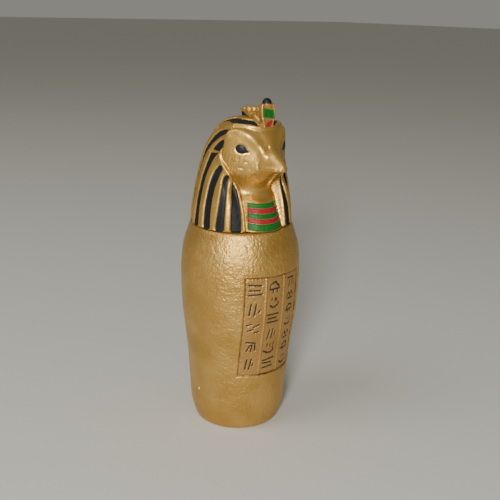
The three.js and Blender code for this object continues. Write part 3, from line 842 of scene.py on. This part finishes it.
def make_lid():
    origin, direction = ray_grid()
    out_cloth = march(cloth, origin, direction)
    on = origin + direction * out_cloth[:, None]
    border = opening(on)
    out_face = march(face, origin, direction)
    shape = (LID_ROWS, LID_COLUMNS, 3)

    share = smooth(border, -0.15, 0.12)
    points = origin + direction * mix(out_face, out_cloth, share)[:, None]
    in_face = border < 0

    normal = normals_of(points.reshape(shape)).reshape(-1, 3)
    points = points + normal * (face_forms(points) * in_face)[:, None]

    stripe = np.where(border > 0.25, stripes(on), FAR_OFF)
    paint, band_relief = collar(points)
    rim = RIM_HEIGHT * np.exp(-(((border - RIM_WIDTH / 2) / (RIM_WIDTH / 2)) ** 2)) * (on[:, 1] < 0)
    ridges = 0.12 * smooth(stripe, 0.0, 0.5)
    groove = -STRIPE_DEPTH * smooth(-stripe, -0.14, 0.14) + ridges
    fine = np.where(in_face, face_lines(points) + band_relief, rim + groove)
    fine = fine + 0.03 * noise(points, 0.8) + 0.02 * noise(points + 30, 0.4)
    wall = np.exp(-((border / WALL_WIDTH) ** 2)) * (on[:, 1] < 0)
    fine = fine * smooth(points[:, 2], 0.0, 0.5) * (1 - wall)
    normal = normals_of(points.reshape(shape)).reshape(-1, 3)
    points = points + normal * fine[:, None]
    points[:LID_COLUMNS, 2] = 0

    azimuth = columns(LID_COLUMNS)
    plug = [[3.0, -PLUG_LENGTH], [PLUG_RADIUS - 0.4, -PLUG_LENGTH], [PLUG_RADIUS, 0.4 - PLUG_LENGTH]]
    lower = plug + [[PLUG_RADIUS, 0], [13.6, 0]]
    below = np.concatenate([ring(azimuth, size, level) for size, level in lower])
    rows = LID_ROWS + len(lower)
    crown = points.reshape(shape)[-1].mean(0)
    every = np.concatenate([below, points, [crown, [0, 0, -PLUG_LENGTH]]])
    first = np.arange(LID_COLUMNS)
    total = rows * LID_COLUMNS
    faces = [
        grid_faces(rows, LID_COLUMNS), cap_faces(first, total + 1, False),
        cap_faces(first + total - LID_COLUMNS, total, True),
    ]
    made = make_mesh("gold_lid", every, faces)
    pad = np.full(len(below), FAR_OFF)
    tail = np.full(2, FAR_OFF)
    eyes = np.where(in_face, eye(points), FAR_OFF)
    store(made.data, "black", np.concatenate([pad, np.minimum(stripe, eyes), tail]))
    store(made.data, "green", np.concatenate([pad, np.where(in_face, paint["green"], FAR_OFF), tail]))
    store(made.data, "red", np.concatenate([pad, np.where(in_face, paint["red"], FAR_OFF), tail]))
    return made


def weld(lid, snake):
    """Joins the cobra to the lid as one closed mesh."""
    # The cobra's black includes painted shade in the gap under its tail.
    for name, values in zip(("black", "green", "red"), cobra_paint(points_of(snake.data))):
        store(snake.data, name, values)
    join = lid.modifiers.new("weld", "BOOLEAN")
    join.operation = "UNION"
    join.solver = "MANIFOLD"
    join.object = snake
    bpy.context.view_layer.update()
    joined = bpy.data.meshes.new_from_object(lid.evaluated_get(bpy.context.evaluated_depsgraph_get()))
    lid.modifiers.clear()
    old, lid.data = lid.data, joined
    bpy.data.meshes.remove(old)
    bpy.data.objects.remove(snake)
    joined.materials.clear()
    joined.polygons.foreach_set("use_smooth", [True] * len(joined.polygons))


# ---------------------------------------------------------------- materials


def new_material(name):
    material = bpy.data.materials.new(name)
    material.use_nodes = True
    return material, material.node_tree.nodes["Principled BSDF"]


class Nodes:
    """Makes and wires shader nodes in one material."""

    def __init__(self, material):
        self.tree = material.node_tree

    def feed(self, socket, value):
        if isinstance(value, bpy.types.NodeSocket):
            self.tree.links.new(value, socket)
        else:
            socket.default_value = value

    def math(self, operation, *values):
        node = self.tree.nodes.new("ShaderNodeMath")
        node.operation = operation
        for socket, value in zip(node.inputs, values):
            self.feed(socket, value)
        return node.outputs[0]

    def attribute(self, name):
        node = self.tree.nodes.new("ShaderNodeAttribute")
        node.attribute_name = name
        return node.outputs["Fac"]

    def place(self):
        return self.tree.nodes.new("ShaderNodeTexCoord").outputs["Object"]

    def noise(self, size, detail=2.0, seed=0.0):
        """Noise from 0 to 1 with features of about size millimetres."""
        node = self.tree.nodes.new("ShaderNodeTexNoise")
        node.noise_dimensions = "4D"
        self.feed(node.inputs["Vector"], self.place())
        node.inputs["W"].default_value = seed
        node.inputs["Scale"].default_value = 1 / (size * MM)
        node.inputs["Detail"].default_value = detail
        return node.outputs["Fac"]

    def ramp(self, value, low, high, start=0.0, end=1.0):
        node = self.tree.nodes.new("ShaderNodeMapRange")
        node.interpolation_type = "SMOOTHSTEP"
        keys = ("Value", "From Min", "From Max", "To Min", "To Max")
        for key, given in zip(keys, (value, low, high, start, end)):
            self.feed(node.inputs[key], given)
        return node.outputs["Result"]

    def mix(self, share, a, b):
        node = self.tree.nodes.new("ShaderNodeMix")
        node.data_type = "RGBA"
        self.feed(node.inputs["Factor"], share)
        self.feed(node.inputs[6], a)
        self.feed(node.inputs[7], b)
        return node.outputs[2]

    def bump(self, height, distance, strength):
        node = self.tree.nodes.new("ShaderNodeBump")
        node.inputs["Strength"].default_value = strength
        node.inputs["Distance"].default_value = distance * MM
        self.feed(node.inputs["Height"], height)
        return node.outputs["Normal"]


GOLD = (0.5, 0.29, 0.068, 1)
GOLD_PALE = (0.6, 0.375, 0.105, 1)
GOLD_BROWN = (0.3, 0.135, 0.02, 1)
INK = (0.018, 0.012, 0.008, 1)
BLACK = (0.007, 0.008, 0.009, 1)
GREEN = (0.005, 0.09, 0.008, 1)
RED = (0.26, 0.008, 0.012, 1)
GREEN_PALE = (0.012, 0.14, 0.018, 1)
RED_PALE = (0.34, 0.02, 0.03, 1)
# the border's dark brown: partly ink, partly painted shade in its incised groove
BORDER_INK_AND_SHADE = (0.05, 0.022, 0.008, 1)
PANEL_BROWN = (0.42, 0.2, 0.09, 1)
BARE_RESIN = (0.8, 0.78, 0.72, 1)


def gold_base(nodes):
    """The gold's colour with cloudy patches and darker, browner flecks at random."""
    cloud = nodes.noise(9, 3, 1.0)
    fleck = nodes.noise(0.5, 2, 2.0)
    colour = nodes.mix(nodes.ramp(cloud, 0.35, 0.7), GOLD, GOLD_PALE)
    return nodes.mix(nodes.ramp(fleck, 0.62, 0.85, 0.0, 0.3), colour, GOLD_BROWN)


def paint_share(nodes, name, seed, wobble=0.16, edge=0.05):
    """How much a painted area covers, with a brush-drawn edge."""
    waver = nodes.math("MULTIPLY", nodes.math("SUBTRACT", nodes.noise(0.9, 2, seed), 0.5), wobble)
    distance = nodes.math("ADD", nodes.attribute(name), waver)
    return nodes.ramp(distance, -edge, edge, 1.0, 0.0)


def jar_material():
    material, shader = new_material("gold_paint_jar")
    nodes = Nodes(material)
    ink = paint_share(nodes, "ink", 5.0, 0.1)
    inside = nodes.ramp(nodes.attribute("panel"), -0.1, 0.1, 1.0, 0.0)
    # The incised border is darkened with dark brown in patches: partly worn ink, partly painted shade in the
    # groove.
    patchy_ink_and_shade = nodes.ramp(nodes.noise(5, 2, 9.0), 0.35, 0.7, 0.35, 0.9)
    line = nodes.math("MULTIPLY", paint_share(nodes, "border", 6.0, 0.3, 0.12), patchy_ink_and_shade)
    base = nodes.mix(line, gold_base(nodes), BORDER_INK_AND_SHADE)
    base = nodes.mix(nodes.math("MULTIPLY", inside, 0.35), base, PANEL_BROWN)
    chip = nodes.ramp(nodes.attribute("chip"), -0.1, 0.1, 1.0, 0.0)
    ink_colour = nodes.mix(ink, base, INK)
    nodes.feed(shader.inputs["Base Color"], nodes.mix(chip, ink_colour, BARE_RESIN))
    nodes.feed(shader.inputs["Metallic"], nodes.ramp(nodes.math("MAXIMUM", ink, chip), 0, 1, 0.82, 0.0))
    patches = nodes.ramp(nodes.noise(3, 2, 7.0), 0.3, 0.7, 0.36, 0.46)
    nodes.feed(shader.inputs["Roughness"], nodes.math("ADD", patches, nodes.math("MULTIPLY", ink, 0.1)))
    peel = nodes.bump(nodes.noise(0.55, 2, 3.0), 0.25, 0.9)
    nodes.feed(shader.inputs["Normal"], peel)
    return material


def lid_material():
    material, shader = new_material("gold_paint_lid")
    nodes = Nodes(material)
    # Black covers the stripes, the eyes and the cobra's head, and painted shade in the gap under the cobra's
    # tail.
    black = paint_share(nodes, "black", 11.0)
    green = paint_share(nodes, "green", 12.0, 0.2)
    red = paint_share(nodes, "red", 13.0, 0.2)
    brush = nodes.noise(0.35, 2, 14.0)
    colour = gold_base(nodes)
    colour = nodes.mix(green, colour, nodes.mix(nodes.ramp(brush, 0.4, 0.7), GREEN, GREEN_PALE))
    colour = nodes.mix(red, colour, nodes.mix(nodes.ramp(brush, 0.4, 0.7), RED, RED_PALE))
    colour = nodes.mix(black, colour, BLACK)
    painted = nodes.math("MAXIMUM", black, nodes.math("MAXIMUM", green, red))
    nodes.feed(shader.inputs["Base Color"], colour)
    nodes.feed(shader.inputs["Metallic"], nodes.ramp(painted, 0, 1, 0.8, 0.0))
    patches = nodes.ramp(nodes.noise(3, 2, 7.0), 0.3, 0.7, 0.34, 0.44)
    nodes.feed(shader.inputs["Roughness"], nodes.math("ADD", patches, nodes.math("MULTIPLY", painted, 0.12)))
    shader.inputs["Specular IOR Level"].default_value = 0.25
    peel = nodes.bump(nodes.noise(0.5, 2, 3.0), 0.06, 0.5)
    nodes.feed(shader.inputs["Normal"], peel)
    return material


# ---------------------------------------------------------------- stage, lights and camera


def make_floor():
    mesh = bpy.data.meshes.new("floor")
    edit = bmesh.new()
    bmesh.ops.create_grid(edit, x_segments=1, y_segments=1, size=6.0)
    edit.to_mesh(mesh)
    edit.free()
    floor = bpy.data.objects.new("floor", mesh)
    bpy.context.scene.collection.objects.link(floor)
    material, shader = new_material("floor")
    shader.inputs["Base Color"].default_value = (0.6, 0.59, 0.54, 1)
    shader.inputs["Roughness"].default_value = 0.9
    mesh.materials.append(material)


def area_light(name, at, size, power, colour=(1, 1, 1)):
    data = bpy.data.lights.new(name, "AREA")
    data.shape = "DISK"
    data.size = size
    data.energy = power
    data.color = colour
    light = bpy.data.objects.new(name, data)
    bpy.context.scene.collection.objects.link(light)
    light.location = at
    aim = Vector((0, 0, 0.05)) - Vector(at)
    light.rotation_euler = aim.to_track_quat("-Z", "Y").to_euler()


def make_lights():
    world = bpy.data.worlds.new("studio")
    world.use_nodes = True
    world.node_tree.nodes["Background"].inputs["Color"].default_value = (0.62, 0.61, 0.55, 1)
    world.node_tree.nodes["Background"].inputs["Strength"].default_value = 0.4
    bpy.context.scene.world = world
    area_light("key", (-0.46, -0.44, 0.29), 0.12, 5.2, (1, 0.98, 0.94))
    area_light("fill", (-0.5, 0.1, 0.7), 0.5, 2.0)


CAMERA_AT = Vector((-0.1447, -0.18195, 0.12297))
CAMERA_TURN = math.radians(-38.5 - 0.693)
CAMERA_DOWN = math.radians(16.75)
CAMERA_ROLL = math.radians(1.6)
LENS = 58.13


def make_camera():
    data = bpy.data.cameras.new("camera")
    data.lens = LENS
    data.sensor_width = 36.0
    data.clip_start = 0.01
    camera = bpy.data.objects.new("camera", data)
    bpy.context.scene.collection.objects.link(camera)
    flat = math.cos(CAMERA_DOWN)
    ahead = Vector((-math.sin(CAMERA_TURN) * flat, math.cos(CAMERA_TURN) * flat, -math.sin(CAMERA_DOWN)))
    level = Vector((math.cos(CAMERA_TURN), math.sin(CAMERA_TURN), 0))
    above = level.cross(ahead)
    right = math.cos(CAMERA_ROLL) * level + math.sin(CAMERA_ROLL) * above
    up = math.cos(CAMERA_ROLL) * above - math.sin(CAMERA_ROLL) * level
    camera.matrix_world = Matrix.Translation(CAMERA_AT) @ Matrix((right, up, -ahead)).transposed().to_4x4()
    bpy.context.scene.camera = camera


# ---------------------------------------------------------------- the object

make_camera()
make_lights()
make_floor()

jar = make_jar()
jar.data.materials.append(jar_material())
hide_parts("jar")
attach(jar, "root")

lid = make_lid()
weld(lid, make_cobra())
lift = Matrix.Translation((0, 0, (JAR_TOP + LID_GAP) * MM))
lid.data.transform(lift @ Matrix.Rotation(LID_TURN, 4, "Z"))
lid.data.materials.append(lid_material())
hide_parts("lid")
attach(lid, "root")
